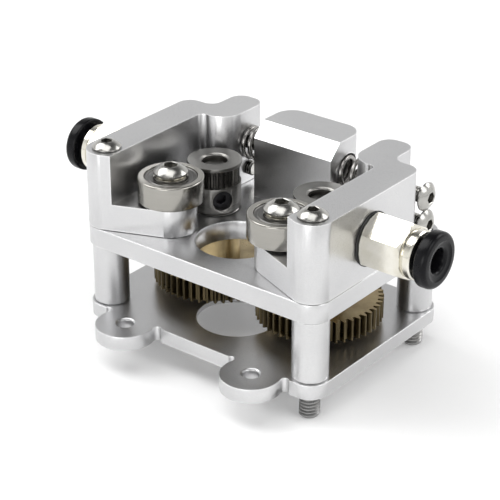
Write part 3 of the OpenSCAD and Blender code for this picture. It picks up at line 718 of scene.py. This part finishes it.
def build_screws():
    """Every button-head screw, with a real socket and thread."""
    low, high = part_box("pivot_screws")
    length = (high.z - low.z) / MM - M3["height"]
    for side, k in SIDES:
        x = k * (high.x - M3["head"] * MM)
        at = Matrix.Translation((x, (low.y + high.y) / 2, high.z - M3["height"] * MM))
        at = at @ Matrix.Rotation(math.radians(17 * k), 4, "Z")
        screw = button_screw(f"{side}_pivot_screw", M3, length, at, PIVOT_SHANK)
        finish_piece(screw, "base", SCREW, "screw_steel", "pivot_screws")
    low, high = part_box("block_screws")
    length = (high.z - low.z) / MM - M3["height"]
    for side, k in SIDES:
        x = k * (high.x - M3["head"] * MM)
        at = Matrix.Translation((x, (low.y + high.y) / 2, low.z + M3["height"] * MM))
        at = at @ Matrix.Rotation(math.pi, 4, "X")
        screw = button_screw(f"{side}_block_screw", M3, length, at)
        finish_piece(screw, "base", SCREW, "screw_steel", "block_screws")
    for side, k in SIDES:
        body = f"{side}_arm"
        low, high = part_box(f"{side}_idler_screw")
        middle = (low + high) / 2
        length = (high.z - low.z) / MM - IDLER["height"]
        at = Matrix.Translation((middle.x, middle.y, high.z - IDLER["height"] * MM))
        at = at @ Matrix.Rotation(math.radians(24 * k), 4, "Z")
        screw = button_screw(f"{side}_idler_bolt", IDLER, length, at, IDLER_SHANK)
        finish_piece(screw, body, SCREW, "screw_steel", f"{side}_idler_screw")
        for use in ("tension", "stop"):
            node = f"{side}_{use}_screw"
            low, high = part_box(node)
            middle = (low + high) / 2
            length = (high.x - low.x) / MM - M3["height"]
            head = (high.x if k > 0 else -low.x) - M3["height"] * MM
            at = Matrix.Translation((k * head, middle.y, middle.z))
            at = at @ Matrix.Rotation(math.radians(90 * k), 4, "Y")
            screw = button_screw(f"{side}_{use}_bolt", M3, length, at)
            finish_piece(screw, body, SCREW, "screw_steel", node)


def build_springs():
    """Coil springs between the block and the levers."""
    for side, k in SIDES:
        low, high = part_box(f"{side}_spring")
        middle = (low + high) / 2
        near, far = outward(low, high, k)
        radius = (high.z - low.z) / 2 / MM - SPRING_WIRE / 2
        spring = coil(f"{side}_coil_spring", radius, SPRING_WIRE, near / MM, far / MM,
                      SPRING_TURNS, sideways(middle, k))
        paint(spring, SPRING)
        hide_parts(f"{side}_spring")
        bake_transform(spring)


def build_shields():
    """Stamped shields with a rolled rim and a shallow step."""
    for side, _ in SIDES:
        node = f"{side}_idler_shields"
        low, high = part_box(node)
        middle = (low + high) / 2
        outer = (high.x - low.x) / 2 / MM
        inner = outer - 1.78
        t = 0.14
        rings = [(inner, 0), (inner, t), (inner + 0.25, t + 0.08), (inner + 0.95, t + 0.08),
                 (inner + 1.1, t - 0.04), (outer - 0.28, t - 0.04), (outer - 0.12, t + 0.1),
                 (outer, t + 0.06), (outer, -0.1)]
        steel = turned_metal(f"{side}_shield_steel", (0.11, 0.11, 0.105), (0.18, 0.175, 0.17),
                             0.34, axis_of(node), 2400, 0.00001)
        depth = 0.25 * MM
        for name, z, flip in (("top", high.z - depth, False), ("bottom", low.z + depth, True)):
            at = Matrix.Translation((middle.x, middle.y, z))
            if flip:
                at = at @ Matrix.Rotation(math.pi, 4, "X")
            shield = loft(f"{side}_shield_{name}", rings, 72, closed=True, matrix=at)
            finish_piece(shield, f"{side}_idler", steel, "bearing_steel", node)


def build_fittings():
    """Push-fit fittings: chamfered hexagon, grooved neck, and a rounded release collet."""
    for side, k in SIDES:
        low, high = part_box(f"{side}_fitting_body")
        at = sideways((low + high) / 2, k)
        root, mouth = (x / MM for x in outward(low, high, k))
        flange = outward(*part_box(f"{side}_fitting_washer"), k)[1] / MM
        af = (high.y - low.y) / MM
        corner, rim = af / math.sqrt(3), af / 2 - 0.05
        flats = hexagon(af)
        shape = lambda a: flats(a + math.pi / 6)
        hex_low, hex_high = flange + HEX_FOOT, mouth - NECK_LENGTH
        rings = [(BORE_RADIUS, root), (2.6, root), (3.0, root + 0.4), (3.0, flange),
                 (NECK_RADIUS, flange), (NECK_RADIUS, hex_low)]
        for j in range(HEX_STEPS + 1):
            limit = rim + (corner - rim) * j / HEX_STEPS
            rings.append((capped(shape, limit + 0.001), hex_low + HEX_CHAMFER * j / HEX_STEPS))
        for j in range(HEX_STEPS + 1):
            limit = corner - (corner - rim) * j / HEX_STEPS
            height = hex_high - HEX_CHAMFER + HEX_CHAMFER * j / HEX_STEPS
            rings.append((capped(shape, limit + 0.001), height))
        groove = NECK_RADIUS - 0.25
        rings += [(groove, hex_high + 0.02), (groove, hex_high + 0.4),
                  (NECK_RADIUS, hex_high + 0.6), (NECK_RADIUS, mouth - 0.35),
                  (groove, mouth - 0.05), (3.7, mouth), (POCKET_RADIUS, mouth - 0.2),
                  (POCKET_RADIUS, mouth - POCKET_DEPTH), (BORE_RADIUS, mouth - POCKET_DEPTH)]
        body = loft(f"{side}_fitting_hexagon", rings, 120, closed=True, matrix=at)
        finish_piece(body, f"{side}_arm", NICKEL, "nickel", f"{side}_fitting_body")

        low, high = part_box(f"{side}_release_collet")
        inner, outer = (x / MM for x in outward(low, high, k))
        radius = (high.z - low.z) / 2 / MM
        back = outer - COLLET_FLANGE
        rings = [(COLLET_BORE, inner), (3.1, inner), (3.3, inner + 0.3), (3.3, back - 0.15),
                 (3.5, back), (radius - 0.5, back)]
        rings += arc((radius - 0.4, back + 0.4), 0.4, -90, 0, 4)[1:]
        rings += arc((radius - 0.95, outer - 0.95), 0.95, 0, 80, 8)
        rings += [(radius - 1.5, outer - 0.02), (radius - 1.75, outer - 0.2),
                  (3.0, outer - 0.3), (2.75, outer - 0.32), (2.45, outer - 0.5),
                  (COLLET_BORE, outer - 0.9)]
        collet = loft(f"{side}_collet_ring", rings, 96, closed=True, matrix=at)
        finish_piece(collet, f"{side}_collet", COLLET, "black_plastic", f"{side}_release_collet")


# ---------- Studio ----------

def area_light(name, place, target, size, power):
    light = bpy.data.lights.new(name, "AREA")
    light.shape = "RECTANGLE"
    light.size, light.size_y = size
    light.energy = power
    obj = bpy.data.objects.new(name, light)
    obj.location = place
    obj.rotation_euler = (Vector(target) - Vector(place)).to_track_quat("-Z", "Y").to_euler()
    bpy.context.scene.collection.objects.link(obj)


def studio_sky():
    """Light tent: white near the floor and grey overhead."""
    world = bpy.data.worlds.new("studio")
    world.use_nodes = True
    nodes, links = world.node_tree.nodes, world.node_tree.links
    background = nodes["Background"]
    coords = nodes.new("ShaderNodeTexCoord")
    split = nodes.new("ShaderNodeSeparateXYZ")
    ramp = nodes.new("ShaderNodeValToRGB")
    links.new(coords.outputs["Generated"], split.inputs[0])
    links.new(split.outputs[2], ramp.inputs["Fac"])
    links.new(ramp.outputs["Color"], background.inputs["Color"])
    while len(ramp.color_ramp.elements) < len(SKY_STOPS):
        ramp.color_ramp.elements.new(0.5)
    for element, (place, level) in zip(ramp.color_ramp.elements, SKY_STOPS):
        element.position = place
        element.color = (level, level, level, 1)
    background.inputs["Strength"].default_value = 1.0
    return world


def build_studio():
    low, high = CAD_BOX
    centre = (Vector(low) + Vector(high)) / 2
    bpy.ops.mesh.primitive_grid_add(x_subdivisions=2, y_subdivisions=2, size=6,
                                    location=(0, 0, low[2]))
    floor = bpy.context.object
    floor.name = "studio_floor"
    paint(floor, FLOOR)

    bpy.context.scene.world = studio_sky()
    area_light("softbox_top", (0.05, -0.15, 0.85), centre, (0.55, 0.55), 2.1)
    area_light("softbox_front", (0.10, -0.62, 0.20), centre, (0.40, 0.30), 1.0)
    area_light("softbox_left", (-0.46, -0.14, 0.66), centre, (0.50, 0.50), 3.2)
    area_light("softbox_right", (0.55, 0.05, 0.40), centre, (0.30, 0.30), 0.8)
    area_light("softbox_back", (0.34, 0.53, 0.43), centre, (0.35, 0.30), 1.1)

    azimuth, elevation = math.radians(CAMERA_AZIMUTH), math.radians(CAMERA_ELEVATION)
    back = Vector((math.sin(azimuth) * math.cos(elevation),
                   -math.cos(azimuth) * math.cos(elevation), math.sin(elevation)))
    camera = bpy.data.cameras.new("camera")
    camera.lens = CAMERA_LENS
    camera.sensor_width = SENSOR
    camera.clip_start = 0.005
    obj = bpy.data.objects.new("camera", camera)
    obj.location = centre + back * CAMERA_DISTANCE
    obj.rotation_euler = (-back).to_track_quat("-Z", "Y").to_euler()
    bpy.context.scene.collection.objects.link(obj)
    bpy.context.scene.camera = obj
    bpy.context.scene.view_settings.view_transform = "Standard"


dress_base()
for side, _ in SIDES:
    dress_spindle(side)
    dress_arm(side)
build_posts()
build_screws()
build_springs()
build_shields()
build_fittings()
build_studio()

bpy.context.view_layer.update()
